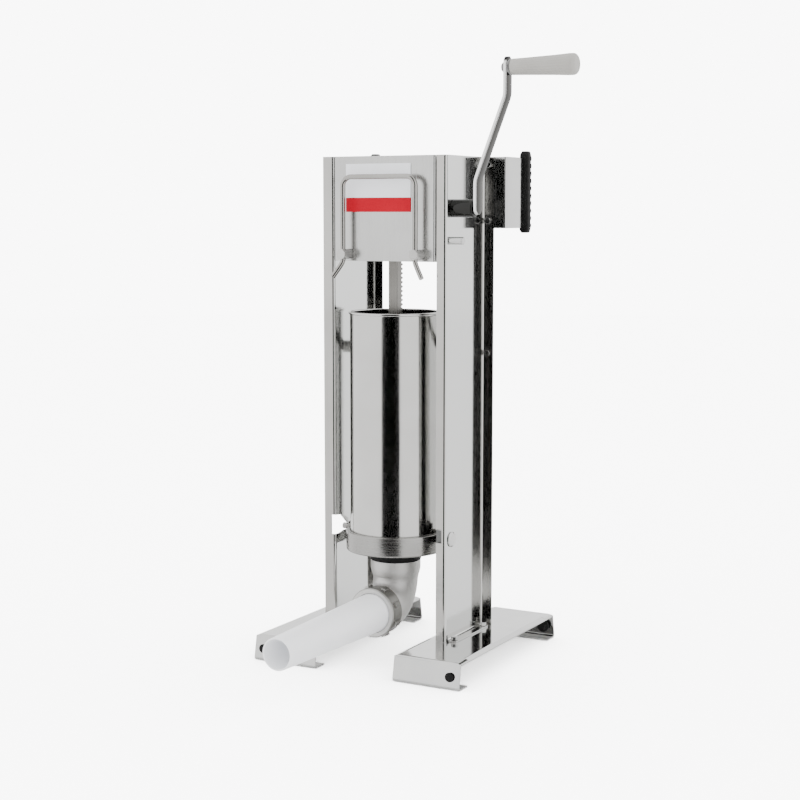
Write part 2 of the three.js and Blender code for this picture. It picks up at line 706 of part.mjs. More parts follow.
function addOutlet() {
  const centre = [0, AXIS_Y];
  const top = RING_BOTTOM - GAP;
  const low = RING_BOTTOM - GASKET_HEIGHT;
  const gasket = [[RING_HOLE, low], [41, low], [45, top], [RING_HOLE, top], [RING_HOLE, low]];
  add("outlet_gasket", turned("z", gasket, centre, 40), BLACK_RUBBER);

  const bend = 45;
  const neckTop = low - GAP;
  const frontY = AXIS_Y - bend;
  const path = (extra) => {
    const points = [[0, AXIS_Y, neckTop + extra], [0, AXIS_Y, OUTLET_Z + bend + 6]];
    for (let i = 0; i <= 4; i++) {
      const angle = (i / 4) * (Math.PI / 2);
      const y = frontY + bend * Math.cos(angle);
      points.push([0, y, OUTLET_Z + bend - bend * Math.sin(angle)]);
    }
    points.push([0, frontY - 20 - extra, OUTLET_Z]);
    return points;
  };
  const body = bentRod(path(0), ELBOW_RADIUS, 16, 28);
  const neck = [
    [0, 126],
    [ELBOW_RADIUS - 0.5, 126],
    [ELBOW_RADIUS + 1, 134],
    [ELBOW_NECK_RADIUS - 0.5, 146],
    [ELBOW_NECK_RADIUS, 152],
    [ELBOW_NECK_RADIUS, neckTop],
    [0, neckTop],
  ];
  const bore = bentRod(path(3), ELBOW_BORE, 16, 24);
  const outer = join(body, turned("z", neck, centre, 36));
  // The thread under the ring nut is turned down.
  const seatRing = ring("y", NUT_BORE - GAP, 60, frontY - 30, frontY - 3, [OUTLET_Z, 0], 40);
  add("outlet_elbow", cut(outer, bore, seatRing), CAST);

  // The ring nut: a threaded sleeve with a lip that holds the tube's flange, and eight lugs.
  const nutBack = frontY - 3.5;
  const mouth = TUBE_BACK_RADIUS + 0.6;
  const sleeve = [
    [NUT_BORE, nutBack],
    [38, nutBack],
    [39.7, nutBack - 2],
    [39.7, NUT_FRONT_Y + 2],
    [38.2, NUT_FRONT_Y],
    [mouth, NUT_FRONT_Y],
    [mouth, NUT_FRONT_Y + 4],
    [NUT_BORE, NUT_FRONT_Y + 4],
    [NUT_BORE, nutBack],
  ];
  const lugs = [];
  for (let i = 0; i < 8; i++) {
    const lug = box(-4.5, 4.5, -31, -17, 37, 42.5);
    lug.rotateY((i / 8) * 2 * Math.PI + Math.PI / 8);
    lugs.push(lug.translate(0, 0, OUTLET_Z));
  }
  const nut = join(turned("y", sleeve.reverse(), [OUTLET_Z, 0], 48), ...lugs);
  add("ring_nut", nut, CAST);

  const wall = 2.5;
  const back = frontY - 20.5;
  const tube = [
    [TUBE_BACK_RADIUS - wall, back],
    [NUT_BORE - 0.6, back],
    [NUT_BORE - 0.6, back - 4],
    [TUBE_BACK_RADIUS, back - 4],
    [TUBE_BACK_RADIUS, NUT_FRONT_Y - 4],
    [TUBE_TIP_RADIUS, TUBE_TIP_Y + 1],
    [TUBE_TIP_RADIUS - 0.8, TUBE_TIP_Y],
    [TUBE_TIP_RADIUS - wall, TUBE_TIP_Y],
    [TUBE_BACK_RADIUS - wall, NUT_FRONT_Y - 4],
    [TUBE_BACK_RADIUS - wall, back],
  ];
  add("filling_tube", turned("y", tube.reverse(), [OUTLET_Z, 0], 48), WHITE_PLASTIC);
}

// ---------- bail, label, rear rest ----------
function addBail() {
  const bend = 13;
  const half = (side) => [
    [side * BAIL_X, BAIL_Y, BAIL_TOP - bend],
    [side * BAIL_X, BAIL_Y, BAIL_TOP - bend - 60],
    [side * BAIL_X, BAIL_Y, 646],
    [side * BAIL_X, BAIL_Y, 640],
    [side * (BAIL_X + 3), BAIL_Y - 1.5, 635],
    [side * (BAIL_X + 15), BAIL_Y - 7, 616],
  ];
  const corner = (side) => {
    const points = [];
    for (let i = 1; i < 4; i++) {
      const angle = (i / 4) * (Math.PI / 2);
      const x = side * (BAIL_X - bend + bend * Math.cos(angle));
      points.push([x, BAIL_Y, BAIL_TOP - bend + bend * Math.sin(angle)]);
    }
    return points;
  };
  const leftLeg = half(-1).reverse();
  const top = [[-BAIL_X + bend, BAIL_Y, BAIL_TOP], [0, BAIL_Y, BAIL_TOP], [BAIL_X - bend, BAIL_Y, BAIL_TOP]];
  const path = [...leftLeg, ...corner(-1), ...top, ...corner(1).reverse(), ...half(1)];
  add("retaining_bail", bentRod(path, BAIL_RADIUS, 64, 8), POLISHED);

  for (const [word, side] of [["right", 1], ["left", -1]]) {
    const block = rod("y", GUIDE_RADIUS, -25, -GAP, [GUIDE_Z, side * BAIL_X], 28);
    const clear = BAIL_RADIUS + 0.5;
    const hole = rod("z", clear, GUIDE_Z - 12, GUIDE_Z + 12, [side * BAIL_X, BAIL_Y]);
    add(`${word}_bail_guide`, cut(block, hole), SATIN);
  }
}

function addLabel() {
  const band = [718, 740];
  const plate = [740.3, 793];
  add("name_plate", box(-68, 48, -1.3, -GAP, plate[0], plate[1]), LABEL_GREY);
  add("name_plate_band", box(-68, 48, -1.3, -GAP, band[0], band[1]), LABEL_RED);
}

// The machine can lie on its back: a folded bracket behind each upright ends in a ribbed rubber edge.
function addRest(word, side, flangeX) {
  const centreX = (RIGHT_WEB_X + LEFT_WEB_X) / 2;
  const wall = centreX + side * REST_REACH;
  const front = WEB_DEPTH + GAP;
  const half = SHEET / 2;
  const line = [
    [flangeX, front + half],
    [wall - side * half, front + half],
    [wall - side * half, REST_REAR_Y],
  ];
  const section = foldedOutline(line, SHEET, 3);
  add(`${word}_rear_rest`, prism("z", section, REST_LOW, FRAME_TOP), POLISHED);

  const low = REST_LOW - 8;
  const high = FRAME_TOP + 11;
  const padFront = REST_REAR_Y - 8;
  const padBack = REST_REAR_Y + 6;
  const ribs = 11;
  const pitch = (high - low - 6) / ribs;
  const outline = [[padFront + 4, high], [padFront, high - 5], [padFront, low + 5], [padFront + 4, low]];
  outline.push([padBack - 2, low]);
  for (let i = 0; i < ribs; i++) {
    const z = low + 3 + i * pitch;
    outline.push([padBack, z + 0.2 * pitch]);
    outline.push([padBack + 2.2, z + 0.35 * pitch]);
    outline.push([padBack + 2.2, z + 0.65 * pitch]);
    outline.push([padBack, z + 0.8 * pitch]);
  }
  outline.push([padBack - 2, high]);
  const [x0, x1] = [wall - side * 9, wall + side * 7.5].sort((a, b) => a - b);
  const [s0, s1] = [wall - side * (SHEET + GAP), wall + side * GAP].sort((a, b) => a - b);
  const slot = box(s0, s1, padFront - 1, REST_REAR_Y + GAP, REST_LOW - GAP, FRAME_TOP + GAP);
  add(`${word}_rest_edge`, cut(prism("x", outline, x0, x1), slot), BLACK_RUBBER);
}

function addRearRest() {
  addRest("right", 1, RIGHT_WEB_X + 3);
  addRest("left", -1, LEFT_WEB_X + FLANGE_WIDTH - 2);
  const front = WEB_DEPTH + GAP;
  const bar = box(LEFT_WEB_X + 2, RIGHT_WEB_X + 16, front, front + 3, 482, 502);
  add("rear_tie_bar", bar, SATIN);
  const rightX = RIGHT_WEB_X + 9;
  const head = [WEB_DEPTH - SHEET - GAP - 4.5, WEB_DEPTH - SHEET - GAP];
  hexBolt("right_rest_upper_bolt", "y", [793, rightX], head[0], head[1], 5.5);
  hexBolt("right_rest_lower_bolt", "y", [704, rightX], head[0], head[1], 5.5);
  hexBolt("right_tie_bolt", "y", [492, rightX], head[0], head[1], 5.5);
  const leftX = LEFT_WEB_X + 9.5;
  hexBolt("left_rest_upper_bolt", "y", [793, leftX], head[0], head[1], 5.5);
  hexBolt("left_rest_lower_bolt", "y", [704, leftX], head[0], head[1], 5.5);
  hexBolt("left_tie_bolt", "y", [492, leftX], head[0], head[1], 5.5);

  const studFrom = RIGHT_WEB_X + GAP;
  const studTo = RIGHT_WEB_X + 24;
  const stud = [
    [0, studFrom],
    [6, studFrom],
    [6, studTo - 2],
    [4.5, studTo],
    [0, studTo],
  ];
  add("side_stud", turned("x", stud, [12, 674], 20), POLISHED);
}

addUprights();
addBase();
addGearbox();
addDrive();
addCrank();
addRack();
addPiston();
addCylinder();
addBaseRing();
addOutlet();
addBail();
addLabel();
addRearRest();

// The origin lies on the floor under the centre of the machine's outer box.
machine.updateMatrixWorld(true);
const extent = new THREE.Box3().setFromObject(machine, true);
const middle = extent.getCenter(new THREE.Vector3());
machine.position.set(-middle.x, -middle.y, -extent.min.z);

export default machine;
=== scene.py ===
"""Looks of a vertical hand-crank sausage stuffer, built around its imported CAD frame."""

import json
import math

import bmesh
import bpy
from mathutils import Matrix, Vector


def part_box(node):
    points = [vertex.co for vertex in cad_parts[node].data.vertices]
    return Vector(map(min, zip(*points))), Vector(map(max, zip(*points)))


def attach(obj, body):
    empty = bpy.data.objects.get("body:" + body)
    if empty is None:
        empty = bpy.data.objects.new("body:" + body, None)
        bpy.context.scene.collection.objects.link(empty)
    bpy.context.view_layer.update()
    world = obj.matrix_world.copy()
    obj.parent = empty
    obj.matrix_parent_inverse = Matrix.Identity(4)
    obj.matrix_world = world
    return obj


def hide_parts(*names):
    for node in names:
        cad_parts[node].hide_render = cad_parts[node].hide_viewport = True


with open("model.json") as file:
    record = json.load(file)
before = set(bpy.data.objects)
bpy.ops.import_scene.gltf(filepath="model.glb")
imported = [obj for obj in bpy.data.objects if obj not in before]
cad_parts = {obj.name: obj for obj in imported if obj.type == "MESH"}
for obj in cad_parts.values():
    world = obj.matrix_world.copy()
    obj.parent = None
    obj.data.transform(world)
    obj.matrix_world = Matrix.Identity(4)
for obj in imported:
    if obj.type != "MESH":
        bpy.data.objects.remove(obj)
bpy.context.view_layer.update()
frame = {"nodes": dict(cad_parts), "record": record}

MM = 0.001
NODES = frame["nodes"]
SLOT_OF = {s["node"]: s["material_slot"] for s in frame["record"]["subparts"]}

# Places below are millimetres from the machine's own mid-plane: the rack is centred on x = 0,
# and its front face is 29 mm behind the uprights' front faces.
RACK_BEHIND = 29
RACK_LOW, RACK_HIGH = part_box("rack")
ORIGIN = Vector(((RACK_LOW[0] + RACK_HIGH[0]) / 2, RACK_LOW[1] - RACK_BEHIND * MM, 0))


def at(x, y, z):
    """A place in metres in the shared frame, from one in millimetres."""
    return Vector((x, y, z)) * MM + ORIGIN


def clamp(value):
    return min(max(value, 0), 1)


# ---------- materials ----------
# A noise texture's values mostly lie between these two.
NOISE_LOW = 0.3
NOISE_HIGH = 0.7

# How a grain is stretched along a piece's own axes.
EVENLY = (1, 1, 1)
ALONG_Z = (1, 1, 0.02)
AROUND_Z = (0.02, 0.02, 1)

CLOUD_DETAIL = 3.0
METAL_CLOUDS = 14.0
METAL_DETAIL = 3.0
METAL_RELIEF = 0.25
PLAIN_CLOUDS = 30.0
PLAIN_DETAIL = 5.0
PLAIN_RELIEF = 0.3


def shader_of(material):
    return material.node_tree.nodes["Principled BSDF"]


def new_material(name):
    material = bpy.data.materials.new(name)
    material.use_nodes = True
    return material, material.node_tree, shader_of(material)


def object_noise(tree, scale, detail, stretch=EVENLY):
    """The value of a noise texture in the piece's own space, stretched along its axes."""
    coords = tree.nodes.new("ShaderNodeTexCoord")
    mapping = tree.nodes.new("ShaderNodeMapping")
    mapping.inputs["Scale"].default_value = stretch
    noise = tree.nodes.new("ShaderNodeTexNoise")
    noise.inputs["Scale"].default_value = scale
    noise.inputs["Detail"].default_value = detail
    tree.links.new(coords.outputs["Object"], mapping.inputs["Vector"])
    tree.links.new(mapping.outputs["Vector"], noise.inputs["Vector"])
    return noise.outputs["Fac"]


def map_range(tree, value, before, after):
    """Maps a value linearly from one (low, high) range to another, and clamps it there."""
    node = tree.nodes.new("ShaderNodeMapRange")
    node.inputs["From Min"].default_value, node.inputs["From Max"].default_value = before
    node.inputs["To Min"].default_value, node.inputs["To Max"].default_value = after
    tree.links.new(value, node.inputs["Value"])
    return node.outputs["Result"]


def spread(tree, noise, after):
    """Maps a noise value to a range."""
    return map_range(tree, noise, (NOISE_LOW, NOISE_HIGH), after)


def tint(tree, factor, dark, light):
    """Blends two colours, each a tuple or a socket, by a 0 to 1 value."""
    node = tree.nodes.new("ShaderNodeMix")
    node.data_type = "RGBA"
    for name, colour in (("A", dark), ("B", light)):
        if isinstance(colour, tuple):
            node.inputs[name].default_value = (*colour, 1)
        else:
            tree.links.new(colour, node.inputs[name])
    tree.links.new(factor, node.inputs["Factor"])
    return node.outputs["Result"]


def grained(name, dark, light, roughness, cloud_scale, grain, relief, depth):
    """Faint clouds in the colour, and a grain in the roughness and in the relief.
    grain is the noise's scale, detail and stretch, and depth is in millimetres."""
    material, tree, shader = new_material(name)
    clouds = object_noise(tree, cloud_scale, CLOUD_DETAIL)
    fine = object_noise(tree, *grain)
    colour = tint(tree, spread(tree, clouds, (0, 1)), dark, light)
    tree.links.new(colour, shader.inputs["Base Color"])
    tree.links.new(spread(tree, fine, roughness), shader.inputs["Roughness"])
    bump = tree.nodes.new("ShaderNodeBump")
    bump.inputs["Strength"].default_value = relief
    bump.inputs["Distance"].default_value = depth * MM
    tree.links.new(fine, bump.inputs["Height"])
    tree.links.new(bump.outputs["Normal"], shader.inputs["Normal"])
    return material


def metal(name, dark, light, roughness, stretch, scale, depth):
    """Steel, whose grain can run one way."""
    grain = (scale, METAL_DETAIL, stretch)
    material = grained(name, dark, light, roughness, METAL_CLOUDS, grain, METAL_RELIEF, depth)
    shader_of(material).inputs["Metallic"].default_value = 1.0
    return material


def plain(name, dark, light, roughness, scale, depth):
    """Plastic, rubber or paint."""
    grain = (scale, PLAIN_DETAIL, EVENLY)
    return grained(name, dark, light, roughness, PLAIN_CLOUDS, grain, PLAIN_RELIEF, depth)


# Tinting by facing, used below mostly for painted light and shade on the faces that catch or miss
# the light.
def facing_tint(material, axis, facing, start=0.6, end=0.85, both_ways=True):
    """A second colour on the faces that look along one of the piece's own axes, one way or both.
    It sets in where the normal's part along that axis is between start and end."""
    tree = material.node_tree
    base = shader_of(material).inputs["Base Color"]
    coords = tree.nodes.new("ShaderNodeTexCoord")
    split = tree.nodes.new("ShaderNodeSeparateXYZ")
    tree.links.new(coords.outputs["Normal"], split.inputs["Vector"])
    along = split.outputs[axis]
    if both_ways:
        size = tree.nodes.new("ShaderNodeMath")
        size.operation = "ABSOLUTE"
        tree.links.new(along, size.inputs[0])
        along = size.outputs["Value"]
    factor = map_range(tree, along, (start, end), (0, 1))
    own = base.links[0].from_socket
    tree.links.new(tint(tree, factor, own, facing), base)


# Each row is the two colours, the range of roughness, the grain's stretch, its scale, and its
# depth in millimetres.
METALS = {
    "polished_steel": ((0.50, 0.50, 0.495), (0.55, 0.55, 0.54), (0.07, 0.14), ALONG_Z, 400, 0.003),
    "barrel_steel": ((0.50, 0.495, 0.48), (0.55, 0.545, 0.53), (0.1, 0.18), ALONG_Z, 500, 0.003),
    "satin_steel": ((0.47, 0.47, 0.46), (0.52, 0.52, 0.51), (0.16, 0.3), ALONG_Z, 600, 0.008),
    "arm_steel": ((0.8, 0.8, 0.79), (0.88, 0.88, 0.87), (0.12, 0.2), ALONG_Z, 500, 0.005),
    "sheet_steel": ((0.40, 0.392, 0.375), (0.45, 0.442, 0.425), (0.07, 0.14), ALONG_Z, 400, 0.003),
    "rod_steel": ((0.30, 0.29, 0.275), (0.36, 0.35, 0.335), (0.12, 0.2), EVENLY, 400, 0.003),
    "ring_steel": ((0.28, 0.276, 0.265), (0.35, 0.345, 0.335), (0.2, 0.32), AROUND_Z, 500, 0.005),
    "nut_steel": ((0.17, 0.165, 0.155), (0.22, 0.215, 0.2), (0.35, 0.5), EVENLY, 700, 0.03),
    "rack_steel": ((0.15, 0.144, 0.134), (0.2, 0.193, 0.18), (0.22, 0.36), ALONG_Z, 600, 0.008),
    "dark_steel": ((0.20, 0.20, 0.20), (0.28, 0.28, 0.275), (0.25, 0.4), EVENLY, 500, 0.01),
    "dark_chrome": ((0.022, 0.022, 0.021), (0.035, 0.035, 0.034), (0.08, 0.14), EVENLY, 300, 0.004),
    "cast_steel": ((0.58, 0.575, 0.56), (0.66, 0.65, 0.635), (0.5, 0.62), EVENLY, 700, 0.03),
    "dark_machined": ((0.11, 0.11, 0.108), (0.15, 0.15, 0.147), (0.25, 0.4), EVENLY, 500, 0.01),
}
# The same, without a stretch.
PLAINS = {
    "white_plastic": ((0.88, 0.89, 0.905), (0.92, 0.925, 0.94), (0.28, 0.4), 900, 0.01),
    "grey_plastic": ((0.33, 0.32, 0.30), (0.37, 0.36, 0.335), (0.35, 0.48), 900, 0.01),
    "plate_grey": ((0.86, 0.87, 0.90), (0.89, 0.90, 0.93), (0.3, 0.4), 800, 0.006),
    "plate_red": ((0.40, 0.004, 0.016), (0.43, 0.005, 0.019), (0.3, 0.4), 800, 0.006),
    "black_rubber": ((0.004, 0.004, 0.004), (0.009, 0.009, 0.009), (0.5, 0.7), 1500, 0.04),
}
MATERIALS = {name: metal(name, *row) for name, row in METALS.items()}
MATERIALS.update({name: plain(name, *row) for name, row in PLAINS.items()})

# Painted light and shade: the arm's wide faces are painted much darker than its light edges, for
# the dark reflections they show; its top end is nearly black.
facing_tint(MATERIALS["arm_steel"], "X", (0.04, 0.039, 0.036))
facing_tint(MATERIALS["arm_steel"], "Z", (0.012, 0.012, 0.012), 0.2, 0.45, both_ways=False)
# Painted light: the uprights' side webs and the nut's end faces are painted lighter than their
# other faces, for the bright light and reflections they catch.
facing_tint(MATERIALS["sheet_steel"], "X", (0.60, 0.605, 0.595))
facing_tint(MATERIALS["nut_steel"], "Y", (0.58, 0.575, 0.56))

SPECULAR_LEVEL = {"black_rubber": 0.15, "plate_red": 0.05}
for name, level in SPECULAR_LEVEL.items():
    shader_of(MATERIALS[name]).inputs["Specular IOR Level"].default_value = level

# Painted glow: the white plastic glows faintly, though it is no lamp, standing in for the light
# that thin plastic lets through, so the tube's bore is never dark.
GLOW_COLOUR = (0.95, 0.96, 1.0, 1)
GLOW_STRENGTH = 0.12
glow = shader_of(MATERIALS["white_plastic"])
glow.inputs["Emission Color"].default_value = GLOW_COLOUR
glow.inputs["Emission Strength"].default_value = GLOW_STRENGTH

# CAD nodes whose finish differs from the rest of their slot.
NODE_FINISH = {
    "rack": "rack_steel",
    "right_trunnion_block": "dark_machined",
    "right_upright": "sheet_steel",
    "left_upright": "sheet_steel",
    "right_bail_guide": "cast_steel",
    "left_bail_guide": "cast_steel",
}


def cover(made, material):
    """Puts one material on all of an object."""
    for holder in made.material_slots:
        holder.material = material
    if not made.material_slots:
        made.data.materials.append(material)


def paint(made, finish):
    """Gives a piece a finish."""
    cover(made, MATERIALS[finish])


# ---------- shapes ----------
# Edges sharper than this stay sharp to the eye, and are the ones that get a bevel.
SHARP = math.radians(35)
ARC_STEP = 0.2  # radians
AXIS_RADIUS = 1e-4  # millimetres, for points on the axis of a lathe
SAME_PLACE = 1e-6  # metres


def arc(start, centre, turn, steps):
    """Points from start round centre, in a plane."""
    spoke = start - centre
    return [centre + Matrix.Rotation(turn * k / steps, 2) @ spoke for k in range(steps + 1)]


def rounded(corners, closed=False, steps=0):
    """Turns corners (u, v, radius) into points whose corners are arcs."""
    points = []
    last = len(corners) - 1
    for i, corner in enumerate(corners):
        here = Vector(corner[:2])
        radius = corner[2] if len(corner) > 2 else 0
        if not radius or (not closed and i in (0, last)):
            points.append(here)
            continue
        back = (Vector(corners[i - 1][:2]) - here).normalized()
        on = (Vector(corners[(i + 1) % len(corners)][:2]) - here).normalized()
        opening = back.angle(on)
        reach = radius / math.tan(opening / 2)
        centre = here + (back + on).normalized() * (radius / math.sin(opening / 2))
        side = 1 if back.x * on.y - back.y * on.x < 0 else -1
        turn = side * (math.pi - opening)
        fine = steps or max(3, round(abs(turn) / ARC_STEP))
        points += arc(here + back * reach, centre, turn, fine)
    return points


def smoothed(points, steps):
    """A smooth curve through points, in space."""
    out = []
    for i in range(len(points) - 1):
        p0 = points[max(i - 1, 0)]
        p1, p2 = points[i], points[i + 1]
        p3 = points[min(i + 2, len(points) - 1)]
        reach = (p2 - p1).length
        m1 = (p2 - p0).normalized() * reach
        m2 = (p3 - p1).normalized() * reach
        for k in range(steps):
            t = k / steps
            a = 2 * t**3 - 3 * t**2 + 1
            b = t**3 - 2 * t**2 + t
            c = -2 * t**3 + 3 * t**2
            d = t**3 - t**2
            out.append(a * p1 + b * m1 + c * p2 + d * m2)
    out.append(points[-1])
    return out


def skin(bm, rings, looped=False, capped=False):
    """Faces between rings of points; one ring is one closed loop round the shape."""
    made = [[bm.verts.new(p) for p in ring] for ring in rings]
    pairs = list(zip(made, made[1:]))
    if looped:
        pairs.append((made[-1], made[0]))
    for first, second in pairs:
        count = len(first)
        for i in range(count):
            k = (i + 1) % count
            bm.faces.new((first[i], first[k], second[k], second[i]))
    if capped:
        bm.faces.new(made[0])
        bm.faces.new(made[-1])


def lathe(bm, axis, centre, outline, segments, looped=False, swell=None):
    """Revolves (radius, along) points round an axis through centre, the other two coordinates.
    A looped outline closes on itself; any other gets a cap at each end. swell(angle, along) adds
    to the radius."""
    rings = []
    for radius, along in outline:
        ring = []
        for i in range(segments):
            angle = 2 * math.pi * i / segments
            reach = max(radius, AXIS_RADIUS) + (swell(angle, along) if swell else 0)
            u = centre[0] + reach * math.cos(angle)
            v = centre[1] + reach * math.sin(angle)
            place = {"x": (along, u, v), "y": (u, along, v), "z": (u, v, along)}[axis]
            ring.append(at(*place))
        rings.append(ring)
    skin(bm, rings, looped, not looped)


def sweep_rings(path, side, section):
    """Rings of a section carried along a path, in a plane that side stands square to.
    section(i) gives points (along side, outwards in the plane)."""
    rings = []
    for i, here in enumerate(path):
        along = (path[min(i + 1, len(path) - 1)] - path[max(i - 1, 0)]).normalized()
        out = side.cross(along)
        rings.append([at(*(here + side * a + out * o)) for a, o in section(i)])
    return rings


def circle(radius, count):
    turn = 2 * math.pi / count
    return [(radius * math.cos(turn * i), radius * math.sin(turn * i)) for i in range(count)]


def block(bm, low, high, turn):
    """A turned box between two corners in millimetres."""
    made = bmesh.ops.create_cube(bm, size=1)
    low, high = at(*low), at(*high)
    place = Matrix.Translation((low + high) / 2) @ Matrix.Diagonal((*(high - low), 1))
    bmesh.ops.transform(bm, matrix=turn @ place, verts=made["verts"])


def new_object(name, data):
    made = bpy.data.objects.new(name, data)
    bpy.context.scene.collection.objects.link(made)
    return made


def mesh_object(name, bm):
    mesh = bpy.data.meshes.new(name)
    bm.to_mesh(mesh)
    bm.free()
    return new_object(name, mesh)


def shade(made):
    """Smooth shading, but for sharp edges."""
    made.data.shade_smooth()
    made.data.set_sharp_from_angle(angle=SHARP)


def round_edges(made, width, segments):
    edge = made.modifiers.new("edge", "BEVEL")
    edge.width = width * MM
    edge.segments = segments
    edge.limit_method = "ANGLE"
    edge.angle_limit = SHARP
    edge.harden_normals = True


def register(made, body, finish, nodes):
    """Paints an object, lets it ride on a body and lets it stand for CAD nodes."""
    paint(made, finish)
    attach(made, body)
    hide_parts(*nodes)


def piece(name, bm, body, finish, *nodes, width=0.0):
    """Makes a piece of the mesh, in place of CAD nodes, with its edges rounded to a width."""
    bmesh.ops.remove_doubles(bm, verts=bm.verts, dist=SAME_PLACE)
    bmesh.ops.recalc_face_normals(bm, faces=bm.faces)
    made = mesh_object(name, bm)
    shade(made)
    if width:
        round_edges(made, width, 3)
    register(made, body, finish, nodes)


# ---------- CAD nodes ----------
SOFT_EDGE = 0.35
WELD_DISTANCE = 0.005
FLAT_ANGLE = 0.5  # degrees


def soften(node):
    """Rounds the sharp edges of a CAD node as it is drawn; its own mesh stays as it is."""
    weld = node.modifiers.new("weld", "WELD")
    weld.merge_threshold = WELD_DISTANCE * MM
    flat = node.modifiers.new("flat", "DECIMATE")
    flat.decimate_type = "DISSOLVE"
    flat.angle_limit = math.radians(FLAT_ANGLE)
    round_edges(node, SOFT_EDGE, 2)
    shade(node)
    weighted = node.modifiers.new("weighted", "WEIGHTED_NORMAL")
    weighted.keep_sharp = True


for name, node in NODES.items():
    cover(node, MATERIALS[NODE_FINISH.get(name, SLOT_OF[name])])
    soften(node)


# ---------- crank ----------
# Rows of an outline round an axis are (radius, place along the axis, radius of the corner).
AXIS_Y = 38  # the cylinder's axis
CRANK_Y = 25.95
GEAR_Z = 723.5  # the crank shaft's axis
GRIP_Z = GEAR_Z + 210.5

ARM_X = 150  # the mid-plane of the arm's lower part
ARM_TOP_X = ARM_X + 49
ARM_BEND_LOW = 42
ARM_BEND_HIGH = 169
ARM_BEND = 32
ARM_HALF = 10
ARM_THICK_HALF = 3
ARM_EDGE = 1.1
ARM_END = 16  # from the grip's axis up to the arm's rounded top
END_RINGS = 8
TIP_HALF = 0.05  # half the width that is left at the very tips

GRIP_START = ARM_TOP_X + 7.5
GRIP_END = GRIP_START + 105.5
GRIP_BORE = 5.6
GRIP_BORE_END = GRIP_END - 10
FLUTES = 22
FLUTE_DEPTH = 0.4
FLUTES_START = GRIP_START + 6
FLUTES_END = GRIP_END - 10
FADE_IN = 6
FADE_OUT = 5


def make_crank_arm():
    bottom, top = GEAR_Z - ARM_HALF, GRIP_Z + ARM_END
    line = rounded([
        (ARM_X, bottom),
        (ARM_X, GEAR_Z + ARM_BEND_LOW, ARM_BEND),
        (ARM_TOP_X, GEAR_Z + ARM_BEND_HIGH, ARM_BEND),
        (ARM_TOP_X, top),
    ])
    # More rings near both ends carry their rounding.
    quarter = math.pi / 2
    ends = [ARM_HALF * (1 - math.cos(quarter * k / END_RINGS)) for k in range(1, END_RINGS + 1)]
    low = [Vector((ARM_X, bottom + d)) for d in ends]
    high = [Vector((ARM_TOP_X, top - d)) for d in reversed(ends)]
    flat = [line[0], *low, *line[1:-1], *high, line[-1]]
    path = [Vector((x, CRANK_Y, z)) for x, z in flat]

    def section(i):
        inward = min(path[i].z - bottom, top - path[i].z)
        missing = max(ARM_HALF - inward, 0)
        half = max(math.sqrt(ARM_HALF**2 - missing**2), TIP_HALF)
        thick = ARM_THICK_HALF
        edge = min(ARM_EDGE, half * 0.9)
        corners = [
            (-half, -thick, edge),
            (half, -thick, edge),
            (half, thick, edge),
            (-half, thick, edge),
        ]
        return rounded(corners, closed=True, steps=4)

    bm = bmesh.new()
    skin(bm, sweep_rings(path, Vector((0, 1, 0)), section), capped=True)
    piece("crank_bar", bm, "crank", "arm_steel", "crank_arm")


def make_grip():
    outline = rounded([
        (0, GRIP_BORE_END),
        (GRIP_BORE, GRIP_BORE_END),
        (GRIP_BORE, GRIP_START),
        (12.2, GRIP_START, 1.2),
        (12.9, GRIP_START + 20, 60),
        (14.9, GRIP_START + 70, 60),
        (16.2, GRIP_START + 92.5, 20),
        (16.0, GRIP_END, 6.5),
        (0, GRIP_END),
    ])

    def flutes(angle, along):
        faded = clamp((along - FLUTES_START) / FADE_IN) * clamp((FLUTES_END - along) / FADE_OUT)
        return -FLUTE_DEPTH * faded * (1 + math.cos(FLUTES * angle)) / 2

    # More rings let the flutes start and fade along the handle.
    ring_step = 3
    fine = []
    for first, second in zip(outline, outline[1:]):
        in_bore = max(first.x, second.x) < GRIP_BORE + 0.1
        steps = 1 if in_bore else max(1, round((second - first).length / ring_step))
        fine += [first.lerp(second, k / steps) for k in range(steps)]
    fine.append(outline[-1])
    bm = bmesh.new()
    lathe(bm, "x", (CRANK_Y, GRIP_Z), fine, 220, swell=flutes)
    piece("grip_handle", bm, "grip", "grey_plastic", "handle_grip")


def make_spindle():
    """The spindle: its head and collar on the arm's two faces, and its rod inside the grip."""
    inner, outer = ARM_TOP_X - 3.2, ARM_TOP_X + 3.3
    tip = GRIP_END - 12
    outline = rounded([
        (0, inner - 5.8),
        (7.8, inner - 5.8, 4.5),
        (7.8, inner),
        (5, inner),
        (5, outer),
        (12.2, outer, 0.8),
        (12.2, outer + 3.9, 2),
        (5.2, outer + 3.9),
        (5, tip),
        (0, tip),
    ])
    bm = bmesh.new()
    lathe(bm, "x", (CRANK_Y, GRIP_Z), outline, 64)
    piece("spindle_cap", bm, "crank", "dark_steel", "grip_spindle")


def make_boss():
    bore, start, end = 8.2, 110.3, 146
    outline = rounded([
        (bore, start),
        (14, start, 0.3),
        (14, end, 2),
        (bore, end),
    ], closed=True)
    bm = bmesh.new()
    lathe(bm, "x", (CRANK_Y, GEAR_Z), outline, 96, looped=True)
    piece("crank_boss", bm, "frame", "dark_chrome", "crank_bearing_boss")


# ---------- cylinder, ring, outlet ----------
OUTLET_Z = 86  # the axis of the elbow's mouth, the nut and the tube
PIN_Z = 205
MOUTH_RADIUS = 36
NUT_SEAT_RADIUS = 34.6
NUT_SEAT_Y = -10  # the elbow is thinner from here on, inside the nut
NECK_FLARE = 4.5  # what the neck gains in radius towards the top
FLARE_FROM = 126
FLARE_HEIGHT = 22
LUGS = 8
# Two corners of the uppermost lug, from the outlet's axis.
LUG_LOW = (-4.4, -31, 36.5)
LUG_HIGH = (4.4, -17, 42.3)


